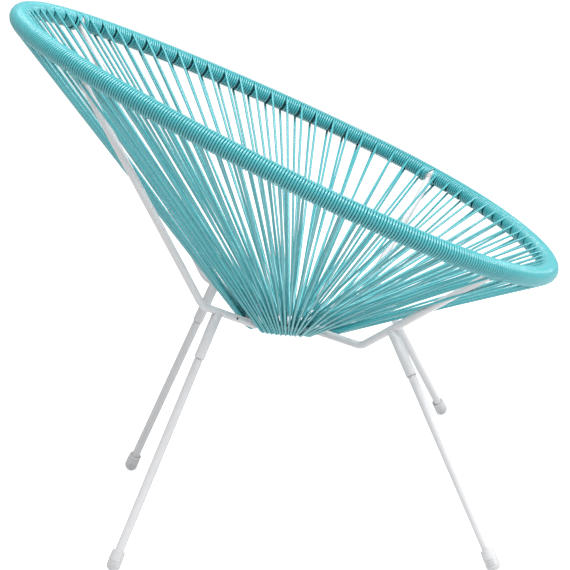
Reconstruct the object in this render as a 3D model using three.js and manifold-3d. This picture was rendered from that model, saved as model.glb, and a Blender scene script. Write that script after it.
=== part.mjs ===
// Acapulco chair: a tilted oval steel hoop wound with plastic cord, a web of the same cord
// strained from the hoop to a small ring under the seat, four bent bars that join hoop and
// ring, and four legs that stand in sockets under the bars, each with a plastic foot cap.
// Millimetres. X runs across the seat, -Y is the front, Z is up and the floor is at zero.
import * as THREE from 'three';
import { mergeVertices } from 'three/addons/utils/BufferGeometryUtils.js';
import Module from 'manifold-3d';

const wasm = await Module();
wasm.setup();

// Clearance between two pieces that touch on the real chair.
const touchGap = 0.3;

// Rim hoop: a steel tube bent to an oval, wider in front, in one plane that rises to the back.
const hoopTube = 22;
const rimHalfWidth = 350.4;
const rimHalfLength = 455.5;
const rimTiltDegrees = 30.93;
const rimMiddleY = 2.4;
const rimMiddleZ = 595.6;
// Second and third waves of the oval's width, second to fourth waves of its length.
const rimWidthShares = [-0.0923, 0.0159];
const rimLengthShares = [0.0015, -0.0209, -0.0077];
const hoopSteps = 126;
const hoopSides = 8;

// Cord, and the stations where it leaves the rim: counts of stations from bar to bar, starting
// at the left bar of the back and going round by the left, the front and the right. The first
// bar's place is a count of stations from the rim's back, as a share of one.
const cordThickness = 4;
const cordSides = 4;
const spanStations = [23, 23, 23, 15];
const firstBarStationShare = 6.75;
const barStationShare = 0.5;
const stationsPerCord = 4;

// Winding: a flat band of strands side by side, one turn between two stations, with a groove
// for the cord of the station. Six steps a turn; it climbs to the next turn in two of them.
const strandGap = 0.45;
const hoopGap = 0.5;
const turnSteps = 6;
const climbSteps = 2;

// Bottom ring: a round rod bent to an oval that tips down to the front.
const ringHalfWidth = 55.1;
const ringHalfLength = 67;
const ringRod = 10;
const ringTiltDegrees = 8.4;
const ringY = 25.4;
const ringZ = 303.5;
const ringSteps = 36;
const ringSides = 8;

// Bars: a round rod from the hoop down to its bend and in to the ring, which the front ones
// meet a little under its middle.
const barRod = 12;
const barSides = 10;
const backBendX = 86.7;
const backBendY = 156;
const backBendZ = 365;
const backBendRadius = 28;
const frontBendX = 100.3;
const frontBendY = -79.4;
const frontBendZ = 280.9;
const frontBendRadius = 24;
const frontEndDrop = 2.3;
// A bar's end, and the place where it passes midway between the cords beside it, lie outside
// the ring's centre line by a share of the ring's rod.
const barEndShare = 0.3;
const barPassShare = 1;
const barSideGap = 3.6;
// How far each bar's rim end lies from midway between its stations, in stations, and the
// front bars' ends under the hoop's centre, as a share of the hoop's radius.
const barShiftShares = [0, -0.1, 0.25, 0];
const frontDropShare = 0.8;
const bendSteps = 5;

// Legs, their sockets and their caps. A socket's place on its bar is a share of the straight
// from the bend to the ring (back) or to the hoop (front), in the order of the bars: left of
// the back, left and right of the front, right of the back.
const legTube = 13.5;
const legWall = 1.5;
const legSides = 12;
const socketTube = 16.5;
const socketLength = 78;
const socketDepth = 45;
const socketSides = 16;
const socketShares = [0.2, 0.234, 0.234, 0.263];
const backFootX = 209.1;
const backFootY = 322.6;
const frontFootX = 336.7;
const frontFootY = -228.5;
const footHeight = 16.4;
const capLength = 32;
const capMiddleShare = 0.47;
const capTopTube = 18.6;
const capWideTube = 21.6;
const capDepth = 20;
const capSides = 20;
// The cap's outline, as shares of its length from the top and of its widest half.
const capOutlineShares = [[0.06, 0.93], [0.36, 1], [0.7, 0.98], [0.86, 0.89], [0.95, 0.76], [1, 0.5]];

// Looks.
const cordLook = { color: 0x4fb9c1, roughness: 0.3, metalness: 0 };
const hoopLook = { color: 0x1f5257, roughness: 0.5, metalness: 0.1 };
const steelLook = { color: 0xdedfe2, roughness: 0.42, metalness: 0.1 };
const capLook = { color: 0xe9e9ec, roughness: 0.5, metalness: 0 };

const group = new THREE.Group();
const chair = new THREE.Group();
group.add(chair);
const quarterTurn = Math.PI / 2;
const rimTilt = THREE.MathUtils.degToRad(rimTiltDegrees);
const ringTilt = THREE.MathUtils.degToRad(ringTiltDegrees);
const stationCount = spanStations.reduce((sum, n) => sum + n, 0);
const cordRadius = cordThickness / 2;
const hoopRadius = hoopTube / 2;

function place(piece, name, look) {
  const mesh = new THREE.Mesh(piece, new THREE.MeshStandardMaterial(look));
  mesh.name = name;
  chair.add(mesh);
  return mesh;
}

// Sweep: rings of points joined side to side, closed on itself or with flat ends.
function sweep(rings, closed) {
  const sides = rings[0].length;
  const index = [];
  const joins = closed ? rings.length : rings.length - 1;
  for (let i = 0; i < joins; i += 1) {
    const here = i * sides;
    const next = ((i + 1) % rings.length) * sides;
    for (let j = 0; j < sides; j += 1) {
      const k = (j + 1) % sides;
      index.push(here + j, here + k, next + k, here + j, next + k, next + j);
    }
  }
  if (!closed) {
    const last = (rings.length - 1) * sides;
    for (let j = 1; j < sides - 1; j += 1) {
      index.push(0, j + 1, j, last, last + j, last + j + 1);
    }
  }
  const geometry = new THREE.BufferGeometry();
  const places = rings.flat().flatMap((p) => p.toArray());
  geometry.setAttribute('position', new THREE.Float32BufferAttribute(places, 3));
  geometry.setIndex(index);
  geometry.computeVertexNormals();
  return geometry;
}

// A round rod along a line of points, with mitred sections, the first turned as side says.
function rod(points, radius, sides, side) {
  const rings = [];
  let across = side.clone();
  points.forEach((point, i) => {
    const before = points[Math.max(i - 1, 0)];
    const after = points[Math.min(i + 1, points.length - 1)];
    const into = point.clone().sub(before).normalize();
    const out = after.clone().sub(point).normalize();
    const along = i === 0 ? out : into;
    const plane = into.clone().add(out).normalize();
    across.addScaledVector(along, -across.dot(along)).normalize();
    const up = along.clone().cross(across);
    const ring = [];
    for (let j = 0; j < sides; j += 1) {
      const angle = (j / sides) * 2 * Math.PI;
      const arm = across.clone().multiplyScalar(Math.cos(angle) * radius);
      arm.addScaledVector(up, Math.sin(angle) * radius);
      // Slide each point along the rod onto the mitre plane.
      arm.addScaledVector(along, -arm.dot(plane) / along.dot(plane));
      ring.push(point.clone().add(arm));
    }
    rings.push(ring);
    // Carry the section round the bend without twist.
    const next = out.lengthSq() > 0 ? out : along;
    across.applyQuaternion(new THREE.Quaternion().setFromUnitVectors(along, next));
  });
  return sweep(rings, false);
}

function toSolid(geometry) {
  const bare = geometry.clone();
  bare.deleteAttribute('normal');
  bare.deleteAttribute('uv');
  const merged = mergeVertices(bare);
  const vertProperties = new Float32Array(merged.attributes.position.array);
  const triVerts = new Uint32Array(merged.index.array);
  return new wasm.Manifold(new wasm.Mesh({ numProp: 3, vertProperties, triVerts }));
}

function toGeometry(solid) {
  const mesh = solid.getMesh();
  const geometry = new THREE.BufferGeometry();
  geometry.setAttribute('position', new THREE.BufferAttribute(new Float32Array(mesh.vertProperties), 3));
  geometry.setIndex(new THREE.BufferAttribute(new Uint32Array(mesh.triVerts), 1));
  geometry.computeVertexNormals();
  return geometry;
}

// The rim's oval at an angle from its back towards the left.
function rimPoint(t) {
  const [w2, w3] = rimWidthShares;
  const [l2, l3, l4] = rimLengthShares;
  const across = Math.sin(t) + w2 * Math.sin(2 * t) + w3 * Math.sin(3 * t);
  const back = Math.cos(t) + l2 * Math.cos(2 * t) + l3 * Math.cos(3 * t) + l4 * Math.cos(4 * t);
  const v = rimHalfLength * back;
  const y = rimMiddleY + v * Math.cos(rimTilt);
  return new THREE.Vector3(rimHalfWidth * across, y, rimMiddleZ + v * Math.sin(rimTilt));
}
// How far round an oval each of many angles lies, and the angle from how far round it lies.
const ovalSamples = 2880;
function ovalRuns(point) {
  const runs = [0];
  for (let i = 1; i <= ovalSamples; i += 1) {
    const a = point(((i - 1) / ovalSamples) * 2 * Math.PI);
    const b = point((i / ovalSamples) * 2 * Math.PI);
    runs.push(runs[i - 1] + a.distanceTo(b));
  }
  return runs;
}
function ovalAngle(runs, run) {
  let low = 0;
  let high = ovalSamples;
  while (high - low > 1) {
    const middle = (low + high) >> 1;
    if (runs[middle] <= run) {
      low = middle;
    } else {
      high = middle;
    }
  }
  return ((low + (run - runs[low]) / (runs[high] - runs[low])) / ovalSamples) * 2 * Math.PI;
}
const ovalStep = Math.PI / ovalSamples;
const rimRun = ovalRuns(rimPoint);
const rimLength = rimRun[ovalSamples];
const stationPitch = rimLength / stationCount;

// A place on the rim's centre line, counted in stations from the back: its point, the way
// along, the way in to the seat and the way up from the rim's plane.
function rimPlace(station) {
  const turns = Math.floor(station / stationCount);
  const t = ovalAngle(rimRun, (station - turns * stationCount) * stationPitch);
  const point = rimPoint(t);
  const along = rimPoint(t + ovalStep).sub(rimPoint(t - ovalStep)).normalize();
  const up = new THREE.Vector3(0, -Math.sin(rimTilt), Math.cos(rimTilt));
  return { point, along, inward: along.clone().cross(up).normalize(), up };
}
function rimSection(at, angle, radius) {
  return at.point.clone()
    .addScaledVector(at.inward, Math.cos(angle) * radius)
    .addScaledVector(at.up, Math.sin(angle) * radius);
}

// The ring's oval, and the way out from it, at an angle from its back towards the left.
const ringMiddle = new THREE.Vector3(0, ringY, ringZ);
const ringBack = new THREE.Vector3(0, Math.cos(ringTilt), Math.sin(ringTilt));
const ringUp = new THREE.Vector3(1, 0, 0).cross(ringBack);
function ringPoint(t) {
  const back = ringBack.clone().multiplyScalar(ringHalfLength * Math.cos(t));
  return back.add(ringMiddle).setX(ringHalfWidth * Math.sin(t));
}
function ringAngle(t) {
  const along = ringPoint(t + ovalStep).sub(ringPoint(t - ovalStep)).normalize();
  return { point: ringPoint(t), outward: ringUp.clone().cross(along), up: ringUp };
}
// A place on the ring, counted by how far round it lies as the angle of a circle of its length.
const ringRun = ovalRuns(ringPoint);
const ringRadius = ringRun[ovalSamples] / (2 * Math.PI);
function ringPlace(turn) {
  const turns = Math.floor(turn / (2 * Math.PI));
  return ringAngle(ovalAngle(ringRun, (turn - turns * 2 * Math.PI) * ringRadius));
}
function ringSection(at, angle, radius) {
  return at.point.clone()
    .addScaledVector(at.outward, Math.cos(angle) * radius)
    .addScaledVector(at.up, Math.sin(angle) * radius);
}

// Round the ring the loops of cord lie in as many layers as they need to pass each other.
const cordRoom = cordThickness + strandGap;
const loopBend = Math.cos(Math.PI / 6);
const layerRise = cordRoom / loopBend;
const ringLoopRadius = (ringRod / 2 + cordRadius + touchGap) / loopBend;
const barTurn = (barRod + cordThickness + 2 * barSideGap) / ringRadius;
const spanCount = spanStations.length;
const stationTurn = (2 * Math.PI - spanCount * barTurn) / (stationCount - spanCount);
// The room that a layer's loops have on the ring's inner side, where they are closest.
function layerRoom(layers) {
  const reach = (ringLoopRadius + (layers - 1) * layerRise) * loopBend;
  return layers * stationTurn * (ringRadius - reach);
}
let layerCount = 1;
while (layerRoom(layerCount) < cordRoom && (layerCount + 1) * layerRise < ringRadius / 2) {
  layerCount += 1;
}
const backSpan = spanStations[spanCount - 1];
const firstBarTurn = ((backSpan - 1) * stationTurn + barTurn) / 2;
const barPlaces = [];
const barTurns = [];
spanStations.reduce((from, n) => {
  const before = barPlaces.length;
  barPlaces.push(firstBarStationShare + from);
  barTurns.push(firstBarTurn + (from - before) * stationTurn + before * barTurn);
  return from + n;
}, 0);

// Hoop.
function hoopRings(radius) {
  const rings = [];
  for (let i = 0; i < hoopSteps; i += 1) {
    const at = rimPlace((i / hoopSteps) * stationCount);
    const ring = [];
    for (let j = 0; j < hoopSides; j += 1) {
      ring.push(rimSection(at, -(j / hoopSides) * 2 * Math.PI, radius));
    }
    rings.push(ring);
  }
  return rings;
}
const hoopGeometry = sweep(hoopRings(hoopRadius), true);
place(hoopGeometry, 'rim_hoop', hoopLook);
const hoopRelief = toSolid(sweep(hoopRings(hoopRadius + touchGap), true));

// Ring.
function ringRings(radius) {
  const rings = [];
  for (let i = 0; i < ringSteps; i += 1) {
    const at = ringPlace((i / ringSteps) * 2 * Math.PI);
    const ring = [];
    for (let j = 0; j < ringSides; j += 1) {
      ring.push(ringSection(at, (j / ringSides) * 2 * Math.PI, radius));
    }
    rings.push(ring);
  }
  return rings;
}
place(sweep(ringRings(ringRod / 2), true), 'seat_ring', steelLook);
const ringRelief = toSolid(sweep(ringRings(ringRod / 2 + touchGap), true));

// Cords. Every station has a line to the rim's upper side, a half turn over the rim in the
// groove of the winding, and a line back to the ring's lower side. Under the ring the cord
// goes on to the next station.
const rimOverRadius = hoopRadius + cordThickness + cordRadius + strandGap;
const grooveRadius = (hoopRadius + cordRadius + touchGap) / loopBend;
const halfStep = Math.PI / 6;

// The way from the rim down to the ring, as an angle in the rim's section at a station.
function rimDown(at, ringAt) {
  const down = ringAt.point.clone().sub(at.point);
  return Math.atan2(down.dot(at.up), down.dot(at.inward));
}
function ringRise(at, ringAt) {
  const rise = at.point.clone().sub(ringAt.point);
  return Math.atan2(rise.dot(ringAt.up), rise.dot(ringAt.outward));
}
const stations = [];
spanStations.forEach((count, span) => {
  for (let n = 0; n < count; n += 1) {
    const at = rimPlace(barPlaces[span] + barStationShare + n);
    const turn = barTurns[span] + barTurn / 2 + n * stationTurn;
    const ringAt = ringPlace(turn);
    stations.push({ at, turn, ringAt, down: rimDown(at, ringAt), rise: ringRise(at, ringAt) });
  }
});
const cordLines = [];
for (let first = 0; first < stationCount; first += stationsPerCord) {
  const last = Math.min(first + stationsPerCord, stationCount) - 1;
  const points = [];
  for (let n = first; n <= last; n += 1) {
    const { at, turn, ringAt, down, rise } = stations[n];
    const next = stations[(n + 1) % stationCount];
    const before = ringLoopRadius + ((n + layerCount - 1) % layerCount) * layerRise;
    const after = ringLoopRadius + (n % layerCount) * layerRise;
    points.push(ringSection(ringAt, rise + quarterTurn, before));
    points.push(rimSection(at, down + quarterTurn, rimOverRadius));
    points.push(rimSection(at, down + quarterTurn + 2 * halfStep, grooveRadius));
    points.push(rimSection(at, down + quarterTurn + 4 * halfStep, grooveRadius));
    points.push(rimSection(at, down + 3 * quarterTurn, rimOverRadius));
    points.push(ringSection(ringAt, rise - quarterTurn, after));
    // Under the ring to the next station, in three equal steps round and along.
    const round = (((next.turn - turn) / 3) + 2 * Math.PI) % (2 * Math.PI / 3);
    const lift = (next.rise - rise) / 3;
    points.push(ringSection(ringPlace(turn + round), rise + lift - quarterTurn - 2 * halfStep, after));
    if (n < last) {
      const far = ringPlace(turn + 2 * round);
      points.push(ringSection(far, rise + 2 * lift - quarterTurn - 4 * halfStep, after));
    }
  }
  const name = `seat_cord_${String(cordLines.length + 1).padStart(2, '0')}`;
  cordLines.push({ name, points });
  const side = points[1].clone().sub(points[0]).cross(new THREE.Vector3(0, 0, 1));
  place(rod(points, cordRadius, cordSides, side), name, cordLook);
}

// Winding: a band between each two stations of a span, as thick as the cord. It lies square
// round the rim and climbs to the next groove on the side that faces the ring.
const bandInner = (hoopRadius + hoopGap) / Math.cos(Math.PI / turnSteps);
const bandOuter = hoopRadius + cordThickness;
const grooveHalf = (cordRadius + strandGap) / stationPitch;
const windingNames = ['left', 'front', 'right', 'back'];
const windings = [];
let firstStation = 0;
for (let span = 0; span < spanCount; span += 1) {
  const turns = spanStations[span] - 1;
  const rings = [];
  const total = turns * turnSteps;
  for (let i = 0; i <= total - climbSteps; i += 1) {
    const turn = Math.floor(i / turnSteps);
    const step = i - turn * turnSteps;
    const climb = Math.max(0, step - (turnSteps - climbSteps)) / climbSteps;
    const start = barPlaces[span] + barStationShare + turn + climb;
    const rails = [start + grooveHalf, start + 1 - grooveHalf];
    const { down } = stations[firstStation + turn];
    const angle = down + (Math.PI / turnSteps) * (climbSteps + 2 * step);
    const [low, high] = rails.map((station) => rimPlace(station));
    rings.push([
      rimSection(low, angle, bandInner), rimSection(low, angle, bandOuter),
      rimSection(high, angle, bandOuter), rimSection(high, angle, bandInner),
    ]);
  }
  firstStation += spanStations[span];
  windings.push(rings);
  place(sweep(rings, false), `rim_winding_${windingNames[span]}`, cordLook);
}

// The least gap of each winding and cord to itself, measured on points along its edges: so many
// on each straight of a band or a cord, and for a cord only between places four straights apart.
const bandGapSteps = 4;
const cordGapSteps = 12;
const apartStraights = 4;
function along(points, count) {
  const places = [];
  for (let i = 0; i + 1 < points.length; i += 1) {
    for (let j = 0; j < count; j += 1) {
      places.push(points[i].clone().lerp(points[i + 1], j / count));
    }
  }
  return places;
}
function leastGap(one, other, apart) {
  let least = Infinity;
  one.forEach((p, i) => {
    other.forEach((q, j) => {
      if (Math.abs(i - j) > apart || one !== other) {
        least = Math.min(least, p.distanceTo(q));
      }
    });
  });
  return least;
}
windings.forEach((rings, span) => {
  const edge = (corner) => along(rings.map((ring) => ring[corner]), bandGapSteps);
  const low = [edge(0), edge(1)];
  const high = [edge(3), edge(2)];
  const least = Math.min(leastGap(high[0], low[0]), leastGap(high[1], low[1]));
  console.log(`rim_winding_${windingNames[span]}: least gap to itself ${least.toFixed(2)} mm`);
});
let cordLeast = Infinity;
cordLines.forEach(({ points }) => {
  const places = along(points, cordGapSteps);
  const least = leastGap(places, places, apartStraights * cordGapSteps) - cordThickness;
  cordLeast = Math.min(cordLeast, least);
});
console.log(`seat cords: least gap of one to itself ${cordLeast.toFixed(2)} mm`);

// Bars.
function bentLine(start, corner, end, radius) {
  const into = corner.clone().sub(start).normalize();
  const out = end.clone().sub(corner).normalize();
  const bend = into.angleTo(out);
  const reach = radius * Math.tan(bend / 2);
  const inner = out.clone().sub(into).normalize();
  const centre = corner.clone().addScaledVector(inner, radius / Math.cos(bend / 2));
  const arm = corner.clone().addScaledVector(into, -reach).sub(centre);
  const axis = into.clone().cross(out).normalize();
  const points = [start];
  for (let i = 0; i <= bendSteps; i += 1) {
    points.push(centre.clone().add(arm.clone().applyAxisAngle(axis, (bend * i) / bendSteps)));
  }
  points.push(end);
  return points;
}
const corners = [
  { bar: 0, side: 1, back: true },
  { bar: 1, side: 1, back: false },
  { bar: 2, side: -1, back: false },
  { bar: 3, side: -1, back: true },
];
const barReliefs = corners.map(({ bar, side, back }) => {
  const rimEnd = rimPlace(barPlaces[bar] + barShiftShares[bar]);
  const under = rimDown(rimEnd, ringPlace(barTurns[bar])) - quarterTurn;
  const start = rimSection(rimEnd, under, back ? 0 : hoopRadius * frontDropShare);
  const corner = back
    ? new THREE.Vector3(side * backBendX, backBendY, backBendZ)
    : new THREE.Vector3(side * frontBendX, frontBendY, frontBendZ);
  const lift = new THREE.Vector3(0, 0, back ? 0 : -frontEndDrop);
  const passReach = ringRod * barPassShare;
  const pass = ringSection(ringPlace(barTurns[bar]), 0, passReach);
  const aim = pass.clone().sub(corner).setZ(0).setLength(passReach).add(pass);
  const aimBack = aim.clone().sub(ringMiddle).dot(ringBack);
  const endAngle = Math.atan2(aim.x / ringHalfWidth, aimBack / ringHalfLength);
  const end = ringSection(ringAngle(endAngle), 0, ringRod * barEndShare).add(lift);
  const points = bentLine(start, corner, end, back ? backBendRadius : frontBendRadius);
  const across = new THREE.Vector3(1, 0, 0);
  const whole = toSolid(rod(points, barRod / 2, barSides, across));
  const solid = whole.subtract(hoopRelief).subtract(ringRelief);
  place(toGeometry(solid), `${back ? 'back' : 'front'}_bar_${side > 0 ? 'left' : 'right'}`, steelLook);
  const seat = corner.clone().lerp(back ? end : start, socketShares[bar]);
  const relief = toSolid(rod(points, barRod / 2 + touchGap, barSides, across));
  return { side, back, seat, relief };
});

// Legs, sockets and caps, each made standing on its own axis and then laid along the leg.
function turned(profile, sides) {
  const outline = profile.map(([r, z]) => new THREE.Vector2(r, z));
  return new THREE.LatheGeometry(outline, sides).rotateX(quarterTurn);
}
function layAlong(object, origin, direction) {
  object.position.copy(origin);
  object.quaternion.setFromUnitVectors(new THREE.Vector3(0, 0, 1), direction);
  object.updateMatrixWorld(true);
  return object;
}
const legRadius = legTube / 2;
const legBore = legRadius - legWall;
const socketRadius = socketTube / 2;
const capRadius = capWideTube / 2;
barReliefs.forEach(({ side, back, seat, relief }) => {
  const footX = side * (back ? backFootX : frontFootX);
  const foot = new THREE.Vector3(footX, back ? backFootY : frontFootY, footHeight);
  const rise = seat.clone().sub(foot).normalize();
  const run = seat.distanceTo(foot);
  const tag = `${back ? 'back' : 'front'}_${side > 0 ? 'left' : 'right'}`;
  const holder = layAlong(new THREE.Object3D(), foot, rise);

  // Socket: a sleeve with a blind bore, saddled on the bar at its top.
  const bore = legRadius + touchGap;
  const socketFoot = run - socketLength;
  const sleeve = turned([
    [0, run], [0, socketFoot + socketDepth + touchGap], [bore, socketFoot + socketDepth + touchGap],
    [bore, socketFoot], [socketRadius, socketFoot], [socketRadius, run], [0, run],
  ], socketSides).applyMatrix4(holder.matrixWorld);
  place(toGeometry(toSolid(sleeve).subtract(relief)), `leg_socket_${tag}`, steelLook);

  // Leg: an open tube from inside the cap to inside the socket.
  const capTop = capLength * capMiddleShare;
  const legFoot = capTop - capDepth;
  const legTop = socketFoot + socketDepth;
  const leg = place(turned([
    [legBore, legFoot], [legRadius, legFoot], [legRadius, legTop], [legBore, legTop], [legBore, legFoot],
  ], legSides), `leg_${tag}`, steelLook);
  layAlong(leg, foot, rise);

  // Cap: a turned plastic tip with a blind bore, worn flat where it stands on the floor.
  const well = capTop - capDepth - touchGap;
  const outline = capOutlineShares.map(([down, wide]) => [wide * capRadius, capTop - down * capLength]);
  const cap = turned([
    [0, well], [legRadius + touchGap, well], [legRadius + touchGap, capTop], [capTopTube / 2, capTop],
    ...outline, [0, capTop - capLength], [0, well],
  ].reverse(), capSides).applyMatrix4(holder.matrixWorld);
  const floor = new THREE.BoxGeometry(2 * capLength, 2 * capLength, capLength);
  floor.translate(foot.x, foot.y, -capLength / 2);
  place(toGeometry(toSolid(cap).subtract(toSolid(floor))), `foot_cap_${tag}`, capLook);
});

// The origin is the middle of the chair's footprint, on the floor.
const bounds = new THREE.Box3().setFromObject(chair, true);
const middle = bounds.getCenter(new THREE.Vector3());
chair.position.set(-middle.x, -middle.y, -bounds.min.z);

export default group;
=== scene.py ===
import bisect
import math
import random

import bmesh
import bpy
from mathutils import Matrix, Vector
from mathutils.geometry import intersect_line_line


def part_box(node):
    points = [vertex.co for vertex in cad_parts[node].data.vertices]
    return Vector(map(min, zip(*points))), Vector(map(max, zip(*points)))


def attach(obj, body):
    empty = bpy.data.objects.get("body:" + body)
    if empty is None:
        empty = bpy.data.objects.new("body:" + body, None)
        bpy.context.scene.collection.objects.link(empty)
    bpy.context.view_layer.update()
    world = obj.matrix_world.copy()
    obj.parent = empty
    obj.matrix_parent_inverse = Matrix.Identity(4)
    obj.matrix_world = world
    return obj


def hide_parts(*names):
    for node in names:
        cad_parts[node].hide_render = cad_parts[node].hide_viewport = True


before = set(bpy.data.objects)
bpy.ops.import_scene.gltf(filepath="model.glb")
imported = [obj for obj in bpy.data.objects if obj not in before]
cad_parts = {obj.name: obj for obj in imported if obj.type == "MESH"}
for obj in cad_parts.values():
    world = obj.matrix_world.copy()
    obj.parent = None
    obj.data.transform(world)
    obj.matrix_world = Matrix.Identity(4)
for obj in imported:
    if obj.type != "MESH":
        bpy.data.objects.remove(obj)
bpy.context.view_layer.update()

# Camera
# A long lens looks at the chair's right side from a little above the rim, held slightly
# out of level. Everything is measured from a place in the seat ring, near its middle.
RING_OFFSET = Vector((0, 0.007, 0.0017))
LENS = 109.75
CLIP_END = 100
CAMERA_OFFSET = Vector((-2.63874, 0, 0.7707))
LOOK_TURN = math.radians(0.2022)
LOOK_DOWN = math.radians(15.078)
LOOK_ROLL = math.radians(-5.6795)

ring_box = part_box("seat_ring")
ring_middle = (ring_box[0] + ring_box[1]) / 2
seat_middle = ring_middle - RING_OFFSET

ahead = Vector((math.cos(LOOK_DOWN) * math.cos(LOOK_TURN),
                math.cos(LOOK_DOWN) * math.sin(LOOK_TURN), -math.sin(LOOK_DOWN)))
level_right = Vector((math.sin(LOOK_TURN), -math.cos(LOOK_TURN), 0))
level_up = level_right.cross(ahead)
frame_right = math.cos(LOOK_ROLL) * level_right + math.sin(LOOK_ROLL) * level_up
frame_up = math.cos(LOOK_ROLL) * level_up - math.sin(LOOK_ROLL) * level_right
camera_data = bpy.data.cameras.new("photo_camera")
camera_data.lens = LENS
camera_data.clip_end = CLIP_END
camera = bpy.data.objects.new("photo_camera", camera_data)
bpy.context.scene.collection.objects.link(camera)
camera.matrix_world = Matrix.Translation(seat_middle + CAMERA_OFFSET) @ Matrix(
    (frame_right, frame_up, -ahead)).transposed().to_4x4()
bpy.context.scene.camera = camera

# Studio
# A white floor that runs out of sight under a white sky. One broad soft lamp hangs overhead
# and a smaller one stands in front of the chair, to the right in the picture.
SKY_COLOUR = (1, 1, 1, 1)
SKY_LIGHT = 0.45
FLOOR_SPREAD = 40
FLOOR_COLOUR = (0.86, 0.86, 0.86, 1)
FLOOR_GLOW = 0.62
# Each lamp's name, place from the seat's middle, width and power in watts.
LAMPS = (("overhead_lamp", Vector((-0.8, -0.2, 2.6)), 1.8, 79),
         ("front_lamp", Vector((-1.0, -2.5, 1.9)), 1.2, 52))


def add_math(tree, operation, *terms):
    """A sum or product of values and links, in the order that its node takes them."""
    node = tree.nodes.new("ShaderNodeMath")
    node.operation = operation
    for socket, term in zip(node.inputs, terms):
        if isinstance(term, bpy.types.NodeSocket):
            tree.links.new(term, socket)
        else:
            socket.default_value = term
    return node.outputs[0]


def seen_directly(tree):
    """A value of 1 for what the camera sees itself, in a mirror or through a clear piece."""
    path = tree.nodes.new("ShaderNodeLightPath").outputs
    seen = add_math(tree, "ADD", path["Is Camera Ray"], path["Is Glossy Ray"])
    seen = add_math(tree, "ADD", seen, path["Is Transmission Ray"])
    seen.node.use_clamp = True
    return seen


bpy.context.scene.view_settings.view_transform = "Standard"

world = bpy.data.worlds.new("white_studio")
bpy.context.scene.world = world
world.use_nodes = True
sky_tree = world.node_tree
sky = sky_tree.nodes["Background"]
sky.inputs["Color"].default_value = SKY_COLOUR
sky_strength = sky_tree.nodes.new("ShaderNodeMapRange")
sky_strength.inputs["To Min"].default_value = SKY_LIGHT
sky_strength.inputs["To Max"].default_value = 1
sky_tree.links.new(seen_directly(sky_tree), sky_strength.inputs["Value"])
sky_tree.links.new(sky_strength.outputs[0], sky.inputs["Strength"])

floor_paint = bpy.data.materials.new("white_floor")
floor_paint.use_nodes = True
floor_tree = floor_paint.node_tree
floor_tree.nodes.clear()
floor_out = floor_tree.nodes.new("ShaderNodeOutputMaterial")
floor_matt = floor_tree.nodes.new("ShaderNodeBsdfDiffuse")
floor_matt.inputs["Color"].default_value = FLOOR_COLOUR
floor_glow = floor_tree.nodes.new("ShaderNodeEmission")
floor_sum = floor_tree.nodes.new("ShaderNodeAddShader")
glow_strength = add_math(floor_tree, "MULTIPLY", seen_directly(floor_tree), FLOOR_GLOW)
floor_tree.links.new(glow_strength, floor_glow.inputs["Strength"])
floor_tree.links.new(floor_matt.outputs[0], floor_sum.inputs[0])
floor_tree.links.new(floor_glow.outputs[0], floor_sum.inputs[1])
floor_tree.links.new(floor_sum.outputs[0], floor_out.inputs["Surface"])

floor_shape = bmesh.new()
bmesh.ops.create_grid(floor_shape, x_segments=1, y_segments=1, size=FLOOR_SPREAD)
floor_mesh = bpy.data.meshes.new("studio_floor")
floor_shape.to_mesh(floor_mesh)
floor_shape.free()
studio_floor = bpy.data.objects.new("studio_floor", floor_mesh)
studio_floor.data.materials.append(floor_paint)
bpy.context.scene.collection.objects.link(studio_floor)

for lamp_name, lamp_place, lamp_width, lamp_power in LAMPS:
    lamp_data = bpy.data.lights.new(lamp_name, "AREA")
    lamp_data.size = lamp_width
    lamp_data.energy = lamp_power
    lamp = bpy.data.objects.new(lamp_name, lamp_data)
    lamp.location = seat_middle + lamp_place
    lamp.rotation_euler = (-lamp_place).to_track_quat("-Z", "Y").to_euler()
    bpy.context.scene.collection.objects.link(lamp)

# Rim hoop
# A 22 mm round steel tube bent to a closed oval, wider in front and raised at the back.
# Its winding hides it, and it is coloured dark as painted shade, which shows beside the cords and
# between them.
RIM_OFFSET = Vector((0, -0.016, 0.2938))
RIM_HALF_WIDTH = 0.3504
RIM_HALF_LENGTH = 0.4555
RIM_TILT = math.radians(30.93)
# Shares of the second and third waves of the width, and of the second to fourth of the length.
WIDTH_WAVES = (-0.0923, 0.0159)
LENGTH_WAVES = (0.0015, -0.0209, -0.0077)
RIM_SAMPLES = 2880
# The seat cord leaves the rim at stations, which count from its back round by the left.
STATIONS = 84
STEPS_PER_STATION = 3
HOOP_RADIUS = 0.011
HOOP_SIDES = 20
CREASE = math.radians(40)
# The hoop's dark teal is painted shade: it stands for the shadow deep in the winding's slits.
HOOP_PAINTED_SHADE_COLOUR = (0.012, 0.06, 0.07, 1)
# What the uneven cover takes in beside a colour, how fine its noise is and what it does to
# the gloss.
COVER_LEVELS = ("Patch size", "Patch depth", "Peel size", "Peel height", "Gloss")
PATCH_DETAIL = 3
PEEL_DETAIL = 2
NOISE_MIDDLE = 0.5
GLOSS_SPREAD = 0.12

rim_middle = seat_middle + RIM_OFFSET
rim_up = Vector((0, -math.sin(RIM_TILT), math.cos(RIM_TILT)))


def rim_point(t):
    """The rim's centre at an angle from its back towards the left."""
    x = math.sin(t) + sum(w * math.sin((n + 2) * t) for n, w in enumerate(WIDTH_WAVES))
    v = math.cos(t) + sum(w * math.cos((n + 2) * t) for n, w in enumerate(LENGTH_WAVES))
    return rim_middle + Vector((RIM_HALF_WIDTH * x, RIM_HALF_LENGTH * v * math.cos(RIM_TILT),
                                RIM_HALF_LENGTH * v * math.sin(RIM_TILT)))


def oval_runs(point_at, samples):
    """How far round an oval each of many even angles lies."""
    runs = [0.0]
    for sample in range(samples):
        here = point_at(sample / samples * math.tau)
        runs.append(runs[-1] + (point_at((sample + 1) / samples * math.tau) - here).length)
    return runs


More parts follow.
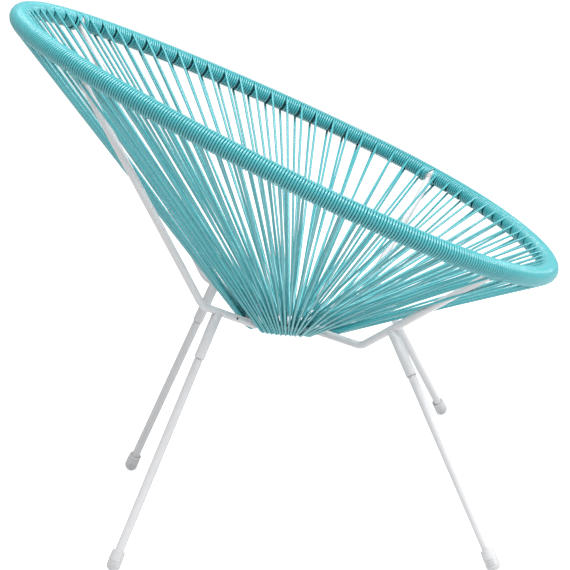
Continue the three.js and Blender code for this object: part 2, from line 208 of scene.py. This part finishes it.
def oval_angle(runs, run):
    """The angle at which an oval has run so far round."""
    low = min(bisect.bisect_right(runs, run), len(runs) - 1) - 1
    share = (run - runs[low]) / (runs[low + 1] - runs[low])
    return (low + share) / (len(runs) - 1) * math.tau


rim_runs = oval_runs(rim_point, RIM_SAMPLES)
station_pitch = rim_runs[-1] / STATIONS


def rim_place(station):
    """The rim's centre, its way along and its way in to the seat, at a count of stations."""
    t = oval_angle(rim_runs, (station % STATIONS) * station_pitch)
    step = math.pi / RIM_SAMPLES
    along = (rim_point(t + step) - rim_point(t - step)).normalized()
    return rim_point(t), along, along.cross(rim_up).normalized()


def round_rim(station, angle, radius):
    """A point round the rim's tube: angle 0 faces the seat, a quarter turn is up."""
    point, _, inward = rim_place(station)
    return point + radius * (math.cos(angle) * inward + math.sin(angle) * rim_up)


def tube_frames(points, closed=False):
    """A place along each point of a line, carried on without twist."""
    frames = []
    count = len(points)
    side = None
    for i, point in enumerate(points):
        before = points[i - 1] if i or closed else point
        after = points[(i + 1) % count] if i < count - 1 or closed else point
        along = (after - before).normalized()
        if side is None:
            side = along.orthogonal().normalized()
        side = (side - along * side.dot(along)).normalized()
        turned = Matrix((side, along.cross(side), along)).transposed().to_4x4()
        frames.append(Matrix.Translation(point) @ turned)
    return frames


def draw_tube(shape, points, radius, sides, closed=False, swell=0):
    """Sweeps a circle along a line of points, open with flat ends or closed on itself. Every
    other section swells by a share."""
    frames = tube_frames(points, closed)
    radii = [radius * (1 + swell * (i % 2)) for i in range(len(points))]
    start = bmesh.ops.create_circle(shape, cap_ends=not closed, segments=sides, radius=1,
                                    matrix=frames[0] @ Matrix.Diagonal((radii[0], radii[0], 1, 1)))
    ring = list(dict.fromkeys(edge for vert in start["verts"] for edge in vert.link_edges))
    first = ring
    for i in range(1, len(points)):
        grown = bmesh.ops.extrude_edge_only(shape, edges=ring)["geom"]
        verts = [part for part in grown if isinstance(part, bmesh.types.BMVert)]
        scale = (Matrix.Diagonal((radii[i], radii[i], 1, 1))
                 @ Matrix.Diagonal((1 / radii[i - 1], 1 / radii[i - 1], 1, 1)))
        bmesh.ops.transform(shape, matrix=frames[i] @ scale @ frames[i - 1].inverted(), verts=verts)
        fresh = set(verts)
        ring = [part for part in grown if isinstance(part, bmesh.types.BMEdge)
                and part.verts[0] in fresh and part.verts[1] in fresh]
    if closed:
        bmesh.ops.bridge_loops(shape, edges=ring + first)
    else:
        bmesh.ops.contextual_create(shape, geom=ring)


def finish_piece(name, shape, finish, slot, *nodes):
    """Turns a shape into a piece of the chair that stands for its plain solids."""
    bmesh.ops.recalc_face_normals(shape, faces=shape.faces)
    for face in shape.faces:
        face.smooth = True
    for edge in shape.edges:
        if len(edge.link_faces) == 2 and edge.calc_face_angle() > CREASE:
            edge.smooth = False
    mesh = bpy.data.meshes.new(name)
    shape.to_mesh(mesh)
    shape.free()
    piece = bpy.data.objects.new(name, mesh)
    piece.data.materials.append(finish)
    bpy.context.scene.collection.objects.link(piece)
    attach(piece, "root")
    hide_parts(*nodes)


# Coats and plastics have a slightly uneven colour and gloss, and a fine orange peel.
cover = bpy.data.node_groups.new("uneven_cover", "ShaderNodeTree")
cover.interface.new_socket("Colour", in_out="INPUT", socket_type="NodeSocketColor")
for level_name in COVER_LEVELS:
    cover.interface.new_socket(level_name, in_out="INPUT", socket_type="NodeSocketFloat")
cover.interface.new_socket("Colour", in_out="OUTPUT", socket_type="NodeSocketColor")
cover.interface.new_socket("Roughness", in_out="OUTPUT", socket_type="NodeSocketFloat")
cover.interface.new_socket("Normal", in_out="OUTPUT", socket_type="NodeSocketVector")
cover_in = cover.nodes.new("NodeGroupInput").outputs
cover_out = cover.nodes.new("NodeGroupOutput").inputs
cover_place = cover.nodes.new("ShaderNodeTexCoord").outputs["Object"]


def cover_noise(size, detail):
    """Noise over a piece's own surface."""
    noise = cover.nodes.new("ShaderNodeTexNoise")
    noise.inputs["Detail"].default_value = detail
    cover.links.new(cover_place, noise.inputs["Vector"])
    cover.links.new(size, noise.inputs["Scale"])
    return noise.outputs["Fac"]


patch_noise = cover_noise(cover_in["Patch size"], PATCH_DETAIL)
patch_spread = add_math(cover, "SUBTRACT", patch_noise, NOISE_MIDDLE)
patch_level = add_math(cover, "MULTIPLY_ADD", patch_spread, cover_in["Patch depth"], 1)
patch_colour = cover.nodes.new("ShaderNodeVectorMath")
patch_colour.operation = "SCALE"
cover.links.new(cover_in["Colour"], patch_colour.inputs[0])
cover.links.new(patch_level, patch_colour.inputs["Scale"])
cover.links.new(patch_colour.outputs[0], cover_out["Colour"])
gloss_level = add_math(cover, "MULTIPLY_ADD", patch_spread, GLOSS_SPREAD, cover_in["Gloss"])
cover.links.new(gloss_level, cover_out["Roughness"])
peel_bump = cover.nodes.new("ShaderNodeBump")
peel_bump.inputs["Strength"].default_value = 1
cover.links.new(cover_noise(cover_in["Peel size"], PEEL_DETAIL), peel_bump.inputs["Height"])
cover.links.new(cover_in["Peel height"], peel_bump.inputs["Distance"])
cover.links.new(peel_bump.outputs["Normal"], cover_out["Normal"])


def make_finish(name, colour, specular, **levels):
    """A coat or plastic under the uneven cover, whose levels go by their own names."""
    finish = bpy.data.materials.new(name)
    finish.use_nodes = True
    tree = finish.node_tree
    shader = tree.nodes["Principled BSDF"]
    shader.inputs["Specular IOR Level"].default_value = specular
    surface = tree.nodes.new("ShaderNodeGroup")
    surface.node_tree = cover
    surface.inputs["Colour"].default_value = colour
    for level_name in COVER_LEVELS:
        surface.inputs[level_name].default_value = levels[level_name.lower().replace(" ", "_")]
    tree.links.new(surface.outputs["Colour"], shader.inputs["Base Color"])
    tree.links.new(surface.outputs["Roughness"], shader.inputs["Roughness"])
    tree.links.new(surface.outputs["Normal"], shader.inputs["Normal"])
    return finish


# The hoop's finish is painted shade: its dark colour stands for the shadow in the slits of the
# winding.
hoop_painted_shade = make_finish("hoop_painted_shade", HOOP_PAINTED_SHADE_COLOUR, specular=0.3, gloss=0.5, patch_size=30,
                        patch_depth=0.1, peel_size=900, peel_height=0.00006)

hoop = bmesh.new()
hoop_line = [rim_place(i / STEPS_PER_STATION)[0] for i in range(STEPS_PER_STATION * STATIONS)]
draw_tube(hoop, hoop_line, HOOP_RADIUS, HOOP_SIDES, closed=True)
finish_piece("rim_tube", hoop, hoop_painted_shade, "hoop", "rim_hoop")

# Seat ring
# A 10 mm round steel rod rolled to a small oval that tips down to the front, its joint
# welded and ground. The seat cord is strained to it all round, so little of it is seen.
RING_HALF_WIDTH = 0.0551
RING_HALF_LENGTH = 0.067
RING_ROD = 0.005
RING_TILT = math.radians(8.4)
RING_SAMPLES = 720
RING_STEPS = 96
RING_SIDES = 18
POWDER_COLOUR = (0.645, 0.64, 0.655, 1)

ring_back = Vector((0, math.cos(RING_TILT), math.sin(RING_TILT)))
ring_up = Vector((0, -math.sin(RING_TILT), math.cos(RING_TILT)))


def ring_at(t):
    """The ring's centre and its way outwards, at an angle from its back towards the left."""
    point = ring_middle + RING_HALF_LENGTH * math.cos(t) * ring_back
    point.x += RING_HALF_WIDTH * math.sin(t)
    along = Vector((RING_HALF_WIDTH * math.cos(t), 0, 0)) - RING_HALF_LENGTH * math.sin(t) * ring_back
    return point, ring_up.cross(along).normalized()


powder_coat = make_finish("powder_coat", POWDER_COLOUR, specular=0.45, gloss=0.38, patch_size=30,
                          patch_depth=0.05, peel_size=900, peel_height=0.00006)

ring = bmesh.new()
ring_line = [ring_at(i / RING_STEPS * math.tau)[0] for i in range(RING_STEPS)]
draw_tube(ring, ring_line, RING_ROD, RING_SIDES, closed=True)
finish_piece("ring_rod", ring, powder_coat, "frame", "seat_ring")

# Bars
# Four 12 mm round steel rods, each with one bend, from the rim down and in to the ring.
# They are welded before coating: at the rim a bead stands round each and its coat runs on
# along the hoop. The back ones have a vent hole near the ring.
BAR_NAMES = ("back_bar_left", "front_bar_left", "front_bar_right", "back_bar_right")
# Stations from each bar to the next, from the rim's back to the first bar, from midway
# between two stations to a bar's own place, and from midway to either.
SPANS = (23, 23, 23, 15)
FIRST_BAR = 6.75
BAR_SHIFTS = (0, 0.1, -0.13, 0)
BAR_TO_STATION = 0.5
BAR_ROD = 0.006
BAR_SIDES = 20
BACK_BEND = Vector((0.0867, 0.1376, 0.0632))
FRONT_BEND = Vector((0.1003, -0.0978, -0.0209))
BACK_BEND_RADIUS = 0.028
FRONT_BEND_RADIUS = 0.024
BEND_STEPS = 10
# How far outside the ring's line a bar passes between the cords and ends, how far the front
# ones end under it, and the room along the ring between the cords beside a bar.
BAR_PASS = 0.01
BAR_END_OUT = 0.003
FRONT_END_DROP = 0.0023
BAR_ROOM = 0.0232
# How far from its bend to its end (back) or to the rim (front) a bar carries its socket.
SOCKET_SHARES = (0.2, 0.234, 0.234, 0.295)
BEAD_RADIUS = 0.0013
BEAD_SWELL = 0.18
BEAD_STEPS = 28
BEAD_SIDES = 8
BEAD_REACH = 0.03
BEAD_HALVINGS = 14
COAT_DEPTH = 0.0003
COAT_STEP = 0.06
COAT_STEPS = 5
COAT_SIDES = 24
HOLE_SHARE = 0.616
HOLE_RADIUS = 0.0021
HOLE_DEPTH = 0.010
HOLE_SIDES = 20

bars = len(BAR_NAMES)
ring_runs = oval_runs(lambda t: ring_at(t)[0], RING_SAMPLES)
ring_radius = ring_runs[-1] / math.tau
bar_spread = BAR_ROOM / ring_radius
station_turn = (math.tau - bars * bar_spread) / (STATIONS - bars)
bar_places = [FIRST_BAR + sum(SPANS[:i]) for i in range(bars)]
bar_turns = [((SPANS[-1] - 1) * station_turn + bar_spread) / 2
             + (sum(SPANS[:i]) - i) * station_turn + i * bar_spread for i in range(bars)]


def ring_place(turn):
    """The ring's centre and its way outwards, at a run counted as if the ring were round."""
    return ring_at(oval_angle(ring_runs, (turn % math.tau) * ring_radius))


def bent_line(start, corner, end, radius):
    """Two straights with a round bend in place of their corner."""
    into, out = (corner - start).normalized(), (end - corner).normalized()
    bend = into.angle(out)
    centre = corner + (out - into).normalized() * radius / math.cos(bend / 2)
    arm = corner - into * radius * math.tan(bend / 2) - centre
    axis = into.cross(out).normalized()
    turns = [Matrix.Rotation(bend * i / BEND_STEPS, 3, axis) for i in range(BEND_STEPS + 1)]
    return [start] + [centre + turn @ arm for turn in turns] + [end]


def bore(shape, mouth, way):
    """The same shape with a small blind hole, bored the way given from its mouth."""
    bit = bmesh.new()
    bit_place = Matrix.Translation(mouth) @ way.to_track_quat("Z", "Y").to_matrix().to_4x4()
    bmesh.ops.create_cone(bit, cap_ends=True, segments=HOLE_SIDES, radius1=HOLE_RADIUS,
                          radius2=HOLE_RADIUS, depth=2 * HOLE_DEPTH, matrix=bit_place)
    pair = []
    for part in (shape, bit):
        bmesh.ops.recalc_face_normals(part, faces=part.faces)
        mesh = bpy.data.meshes.new("boring")
        part.to_mesh(mesh)
        part.free()
        pair.append(bpy.data.objects.new("boring", mesh))
        bpy.context.scene.collection.objects.link(pair[-1])
    cut = pair[0].modifiers.new("bore", "BOOLEAN")
    cut.operation = "DIFFERENCE"
    cut.object = pair[1]
    bored = bmesh.new()
    bored.from_object(pair[0], bpy.context.evaluated_depsgraph_get())
    for part in pair:
        bpy.data.meshes.remove(part.data)
    return bored


def bead_line(station, into):
    """Where the wall of a rod that goes the way given comes out of the hoop's wall."""
    point, along, _ = rim_place(station)
    side_way = into.orthogonal().normalized()
    bead = []
    for i in range(BEAD_STEPS):
        arm = Matrix.Rotation(i / BEAD_STEPS * math.tau, 3, into) @ side_way * BAR_ROD
        reach = BEAD_REACH
        for halving in range(BEAD_HALVINGS):
            spot = arm + into * reach
            flat = spot - along * spot.dot(along)
            reach += (-1 if flat.length > HOOP_RADIUS else 1) * BEAD_REACH / 2 ** (halving + 1)
        bead.append(point + arm + into * reach)
    return bead


bar_ways = []
bar_straights = []
bar_seats = []
for bar, node in enumerate(BAR_NAMES):
    side = 1 if node.endswith("left") else -1
    back = node.startswith("back")
    station = bar_places[bar] + BAR_SHIFTS[bar]
    start = rim_place(station)[0]
    bend = BACK_BEND if back else FRONT_BEND
    corner = seat_middle + Vector((side * bend.x, bend.y, bend.z))
    ring_point, outward = ring_place(bar_turns[bar])
    gate = ring_point + BAR_PASS * outward
    heading = gate - corner
    heading.z = 0
    aim = gate + heading.normalized() * BAR_PASS - ring_middle
    end_point, end_outward = ring_at(math.atan2(aim.x / RING_HALF_WIDTH,
                                                aim.dot(ring_back) / RING_HALF_LENGTH))
    end = end_point + end_outward * BAR_END_OUT - Vector((0, 0, 0 if back else FRONT_END_DROP))
    line = bent_line(start, corner, end, BACK_BEND_RADIUS if back else FRONT_BEND_RADIUS)
    into = (corner - start).normalized()
    bar_ways.append(into)
    bar_straights.append((start, line[1]))
    bar_seats.append((node, corner.lerp(end if back else start, SOCKET_SHARES[bar])))
    rod = bmesh.new()
    draw_tube(rod, line, BAR_ROD, BAR_SIDES)
    if back:
        # The vent hole is on the outer side.
        run = (end - line[-2]).normalized()
        across = run.cross(Vector((0, 0, 1))).normalized() * -side
        rod = bore(rod, corner.lerp(end, HOLE_SHARE) + across * BAR_ROD, -across)
    draw_tube(rod, bead_line(station, into), BEAD_RADIUS, BEAD_SIDES, closed=True, swell=BEAD_SWELL)
    coat_line = [rim_place(station + i * COAT_STEP)[0] for i in range(-COAT_STEPS, COAT_STEPS + 1)]
    draw_tube(rod, coat_line, HOOP_RADIUS + COAT_DEPTH, COAT_SIDES)
    finish_piece(node + "_rod", rod, powder_coat, "frame", node)

# Leg sockets
# Short steel sleeves a little wider than the legs, welded square under the bars. The leg
# screws up into the open lower end, whose edge is eased.
SOCKET_RADIUS = 0.0082
SOCKET_LENGTH = 0.078
SOCKET_SIDES = 32
LEG_RADIUS = 0.00675
MERGE_DISTANCE = 1e-6
# A sleeve's outline: radius, and height over its open end.
SLEEVE_OUTLINE = (
    (0, SOCKET_LENGTH + 0.001), (SOCKET_RADIUS * 0.6, SOCKET_LENGTH + 0.0008),
    (SOCKET_RADIUS, SOCKET_LENGTH - 0.004), (SOCKET_RADIUS, 0.0006), (SOCKET_RADIUS - 0.0006, 0),
    (LEG_RADIUS + 0.0004, 0), (LEG_RADIUS + 0.0002, 0.004), (0, 0.004))
# Where the legs' lines end: to the left of the seat's middle, behind it and over the floor.
BACK_FOOT = Vector((0.2091, 0.3042, 0.0164))
FRONT_FOOT = Vector((0.3367, -0.2469, 0.0164))


def turn_shape(shape, outline, place, sides):
    """Turns an outline of (radius, height) points round an axis laid along a place."""
    verts = [shape.verts.new((radius, 0, height)) for radius, height in outline]
    edges = [shape.edges.new(pair) for pair in zip(verts, verts[1:])]
    bmesh.ops.spin(shape, geom=verts + edges, cent=(0, 0, 0), axis=(0, 0, 1), angle=math.tau,
                   steps=sides, use_merge=True)
    bmesh.ops.remove_doubles(shape, verts=shape.verts, dist=MERGE_DISTANCE)
    bmesh.ops.transform(shape, matrix=place, verts=shape.verts)


legs = []
for node, seat in bar_seats:
    side = 1 if node.endswith("left") else -1
    foot = BACK_FOOT if node.startswith("back") else FRONT_FOOT
    foot = Vector((side * foot.x, foot.y + seat_middle.y, foot.z))
    rise = seat - foot
    place = Matrix.Translation(foot) @ rise.to_track_quat("Z", "Y").to_matrix().to_4x4()
    corner_name = node.replace("_bar_", "_")
    low = rise.length - SOCKET_LENGTH
    legs.append((corner_name, low, place))
    sleeve = bmesh.new()
    outline = [(radius, low + height) for radius, height in SLEEVE_OUTLINE]
    turn_shape(sleeve, outline, place, SOCKET_SIDES)
    finish_piece("socket_sleeve_" + corner_name, sleeve, powder_coat, "frame",
                 "leg_socket_" + corner_name)

# Legs
# Straight 13.5 mm steel tubes that lean outwards from the sockets to the floor. Each has
# a shallow groove where it meets its socket, and its foot end stands inside the cap.
LEG_SIDES = 28
LEG_FOOT = -0.003
LEG_IN_SOCKET = 0.003
GROOVE_DEPTH = 0.0012
GROOVE_TOP = 0.0014
GROOVE_BOTTOM = 0.002
CAP_TOP = 0.015

for corner_name, low, place in legs:
    leg = bmesh.new()
    turn_shape(leg, [
        (0, LEG_FOOT), (LEG_RADIUS, LEG_FOOT), (LEG_RADIUS, CAP_TOP), (LEG_RADIUS, low / 2),
        (LEG_RADIUS, low - GROOVE_BOTTOM), (LEG_RADIUS - GROOVE_DEPTH, low - GROOVE_TOP),
        (LEG_RADIUS - GROOVE_DEPTH, low + LEG_IN_SOCKET), (0, low + LEG_IN_SOCKET)], place, LEG_SIDES)
    finish_piece("leg_tube_" + corner_name, leg, powder_coat, "frame", "leg_" + corner_name)

# Foot caps
# Moulded white plastic tips pushed over the legs, with a flat collar on top, a fuller
# body, short slots near the tread and a rounded bottom worn flat where it stands.
CAP_RADIUS = 0.0108
CAP_BOTTOM = -0.0168
CAP_SIDES = 48
CUT_DISTANCE = 1e-7
CAP_COLOUR = (0.58, 0.58, 0.59, 1)
# The cap's outline over its slots and under them: radius, and height over the leg's foot.
CAP_COLLAR = (
    (0, 0.004), (LEG_RADIUS + 0.0003, 0.004), (LEG_RADIUS + 0.0003, CAP_TOP - 0.0006),
    (LEG_RADIUS + 0.0009, CAP_TOP), (0.0093, CAP_TOP), (0.0101, CAP_TOP - 0.0007),
    (0.0103, 0.009), (CAP_RADIUS, 0.002))
CAP_TREAD = (
    (0.0096, -0.0122), (0.0084, -0.0144), (0.0062, -0.0160), (0.0036, CAP_BOTTOM), (0, CAP_BOTTOM))
# Three rows of slots, each slot eight sides wide in every twelve and pressed in by a share.
SLOT_HEIGHTS = ((-0.0018, -0.0030), (-0.0056, -0.0068), (-0.0090, -0.0100))
SLOT_EDGES = (0.995, 0.97)
SLOT_EVERY = 12
SLOT_SIDES = range(2, 10)
SLOT_PRESS = 0.93


def in_slot(face):
    """Whether a face of the unturned cap lies in one of its slots."""
    middle = face.calc_center_median()
    side = round(math.atan2(middle.y, middle.x) / math.tau * CAP_SIDES - 0.5)
    return (side % SLOT_EVERY in SLOT_SIDES
            and any(low < middle.z < high for high, low in SLOT_HEIGHTS))


cap_plastic = make_finish("cap_plastic", CAP_COLOUR, specular=0.4, gloss=0.5, patch_size=60,
                          patch_depth=0.05, peel_size=1500, peel_height=0.00004)

cap_outline = list(CAP_COLLAR)
for heights in SLOT_HEIGHTS:
    cap_outline += [(CAP_RADIUS * share, height) for share, height in zip(SLOT_EDGES, heights)]
cap_outline += CAP_TREAD

for corner_name, low, place in legs:
    cap = bmesh.new()
    turn_shape(cap, cap_outline, Matrix.Identity(4), CAP_SIDES)
    slot_faces = [face for face in cap.faces if in_slot(face)]
    pressed = bmesh.ops.extrude_face_region(cap, geom=slot_faces)
    inner = [part for part in pressed["geom"] if isinstance(part, bmesh.types.BMVert)]
    bmesh.ops.scale(cap, vec=(SLOT_PRESS, SLOT_PRESS, 1), verts=inner)
    bmesh.ops.delete(cap, geom=slot_faces, context="FACES")
    bmesh.ops.transform(cap, matrix=place, verts=cap.verts)
    # The tread is cut off level with the floor and closed again.
    cut = bmesh.ops.bisect_plane(cap, geom=list(cap.verts) + list(cap.edges) + list(cap.faces),
                                 dist=CUT_DISTANCE, plane_co=(0, 0, 0), plane_no=(0, 0, -1),
                                 clear_outer=True)
    tread_edges = [part for part in cut["geom_cut"] if isinstance(part, bmesh.types.BMEdge)]
    bmesh.ops.contextual_create(cap, geom=tread_edges)
    finish_piece("foot_tip_" + corner_name, cap, cap_plastic, "cap", "foot_cap_" + corner_name)

# Rim winding
# The 4 mm cord, wound tight round the hoop from each seat strand to the next: seven passes
# over the outer side, or eight where the gap is long. Inside, it makes way for the bars.
WINDING_NODES = ("rim_winding_left", "rim_winding_front", "rim_winding_right", "rim_winding_back")
CORD_RADIUS = 0.002
# Drawn a little thinner than the seat cord, its turns keep a dark line between them: their own shade
# in the groove, and the hoop's painted shade seen through.
WOUND_RADIUS = 0.00186
WOUND_SIDES_LEVEL = 2
WRAP_RADIUS = HOOP_RADIUS + CORD_RADIUS
CORD_PITCH = 0.00405
SLIT = 0.0011
SHORT_PASSES = 7
LONG_PASSES = 8
# The gaps of each span that are long, counted from its first station. The cord leaves one
# slit and enters the next half a turn short of its whole passes.
LONG_GAPS = ((2, 5, 8, 11, 15, 19), (2, 6, 9, 13, 16, 20), (1, 5, 8, 12, 15, 19), (2, 5, 9, 12))
PASS_SHORTFALL = 0.5
STEPS_PER_TURN = 16
# Within a third of a turn from a bar a pass is drawn aside, and every other one lies over
# its neighbours there.
BAR_PULL = 0.5
STACK_RISE = 0.0032
CORD_COLOUR = (0.050, 0.358, 0.394, 1)

cord_plastic = make_finish("cord_plastic", CORD_COLOUR, specular=0.72, gloss=0.22, patch_size=45,
                           patch_depth=0.1, peel_size=700, peel_height=0.00002)


def add_cord(name, lines, node, sides_level, radius):
    """Lays round cord along lines of points and lets it stand for its plain solid."""
    curve = bpy.data.curves.new(name, "CURVE")
    curve.dimensions = "3D"
    curve.bevel_depth = radius
    curve.bevel_resolution = sides_level
    curve.use_fill_caps = True
    curve.twist_mode = "MINIMUM"
    for line in lines:
        spline = curve.splines.new("POLY")
        spline.points.add(len(line) - 1)
        for spot, point in zip(spline.points, line):
            spot.co = (*point, 1)
        spline.use_smooth = True
    cord = bpy.data.objects.new(name, curve)
    cord.data.materials.append(cord_plastic)
    bpy.context.scene.collection.objects.link(cord)
    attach(cord, "root")
    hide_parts(node)


def rim_down(station, turn):
    """The way from the rim down to the ring, as an angle round the rim's tube."""
    point, _, inward = rim_place(station)
    down = ring_place(turn)[0] - point
    return math.atan2(down.dot(rim_up), down.dot(inward))


# Each station's place on the rim, its turn on the ring, its way down and its passes to the next.
stations = []
for span, count in enumerate(SPANS):
    passes = [LONG_PASSES if n in LONG_GAPS[span] else SHORT_PASSES for n in range(count)]
    gaps = [2 * SLIT + (n - PASS_SHORTFALL) * CORD_PITCH for n in passes]
    stretch = (count - 1) / sum(gaps[:-1])
    for n in range(count):
        place = bar_places[span] + BAR_TO_STATION + stretch * sum(gaps[:n])
        turn = bar_turns[span] + bar_spread / 2 + n * station_turn
        stations.append((place, turn, rim_down(place, turn), passes[n]))


def beside_bar(even, low, high, length):
    """Moves a pass on the inner side of the rim to the room left of a bar or right of it."""
    middle = (low + high) / 2
    if even < middle or length - high < CORD_PITCH:
        return even * low / (middle if length - high >= CORD_PITCH else length)
    return length - (length - even) * (length - high) / (length - middle)


def wrap_line(n):
    """The cord's turns from one station to the next."""
    place, _, down, passes = stations[n]
    next_place, _, next_down, _ = stations[(n + 1) % STATIONS]
    length = ((next_place - place) % STATIONS) * station_pitch
    turns = passes - PASS_SHORTFALL
    pitch = (length - 2 * SLIT) / turns
    bar = next((bar for bar in range(bars) if (bar_places[bar] - place) % STATIONS < 1), None)
    if bar is not None:
        station = bar_places[bar] + BAR_SHIFTS[bar]
        middle = ((station - place) % STATIONS) * station_pitch
        low, high = middle - BAR_ROD - CORD_RADIUS, middle + BAR_ROD + CORD_RADIUS
        inward = rim_place(station)[2]
        bar_angle = math.atan2(bar_ways[bar].dot(rim_up), bar_ways[bar].dot(inward))
    line = []
    count = round(turns * STEPS_PER_TURN)
    for i in range(count + 1):
        t = turns * i / count
        run = SLIT + t * pitch
        angle = down + (next_down - down) * run / length + math.pi / 2 + t * math.tau
        radius = WRAP_RADIUS
        if bar is not None:
            # How far the pass is on the bar's side, and which pass on that side it belongs to.
            pull = max(0, (math.cos(angle - bar_angle) + BAR_PULL) / (1 + BAR_PULL))
            pull = pull * pull * (3 - 2 * pull)
            whole = round((angle - bar_angle) / math.tau)
            centre = (whole * math.tau + bar_angle - down - math.pi / 2) / math.tau
            even = min(max(SLIT + centre * pitch, SLIT), length - SLIT)
            run += pull * (beside_bar(even, low, high, length) - even)
            radius += STACK_RISE * (whole % 2) * pull * pull
        line.append(round_rim(place + run / station_pitch, angle, radius))
    return line


first = 0
for count, node in zip(SPANS, WINDING_NODES):
    lines = [wrap_line(n) for n in range(first, first + count)]
    add_cord(node.replace("winding", "wrap"), lines, node, WOUND_SIDES_LEVEL, WOUND_RADIUS)
    first += count

# Seat cord
# The same cord strained in pairs of strands from every slit down to the ring, over it and
# back up. Neighbours there are closer than a cord is thick, so every other one rides up,
# and in front the lower runs lie in three layers.
STRANDS_PER_PIECE = 4
STRAND_SIDES_LEVEL = 3
RING_LAYER = 0.0014
FRONT_LAYERS = 3
FRONT_LAYER_START = 2
FRONT_LAYER = 0.004
RING_STRAY = 0.0003
RING_WRAP = RING_ROD + CORD_RADIUS
ARC_STEPS = 14
# A strand isn't led round a bar next to its own ends.
STRAND_END_SHARE = 0.05

hand = random.Random(7)


def clear_bars(from_point, to_point):
    """A strand between two points, led over the outer side of a bar that it would run into."""
    strand = to_point - from_point
    for start, bend in bar_straights:
        met = intersect_line_line(from_point, to_point, start, bend)
        share = (met[0] - from_point).dot(strand) / strand.length_squared
        overlap = BAR_ROD + CORD_RADIUS - (met[0] - met[1]).length
        if STRAND_END_SHARE < share < 1 - STRAND_END_SHARE and overlap > 0:
            side = strand.cross(bend - start).normalized()
            side *= -1 if side.x * met[1].x < 0 else 1
            return [from_point, met[1] + side * (BAR_ROD + CORD_RADIUS), to_point]
    return [from_point, to_point]


def strand_pair(n):
    """From the rim's upper side down to the ring, round it and back to the rim's lower side."""
    place, turn, down, _ = stations[n]
    share = SLIT / station_pitch
    ring_point, outward = ring_place(turn + hand.uniform(-RING_STRAY, RING_STRAY) / ring_radius)
    reach = rim_place(place)[0] - ring_point
    rise = math.atan2(reach.dot(ring_up), reach.dot(outward))
    pile = max(0, -outward.y) * ((n + FRONT_LAYER_START) % FRONT_LAYERS) * FRONT_LAYER
    line = [round_rim(place + share, down + math.pi / 2, WRAP_RADIUS)]
    for i in range(ARC_STEPS + 1):
        angle = rise + math.pi / 2 + math.pi * i / ARC_STEPS
        radius = RING_WRAP + (n % 2) * RING_LAYER + pile * i / ARC_STEPS
        line.append(ring_point + radius * (math.cos(angle) * outward + math.sin(angle) * ring_up))
    return line[:-1] + clear_bars(line[-1], round_rim(place - share, down - math.pi / 2, WRAP_RADIUS))


for number in range(STATIONS // STRANDS_PER_PIECE):
    own = range(number * STRANDS_PER_PIECE, (number + 1) * STRANDS_PER_PIECE)
    node = f"seat_cord_{number + 1:02d}"
    lines = [strand_pair(n) for n in own]
    add_cord(node.replace("cord", "strands"), lines, node, STRAND_SIDES_LEVEL, CORD_RADIUS)
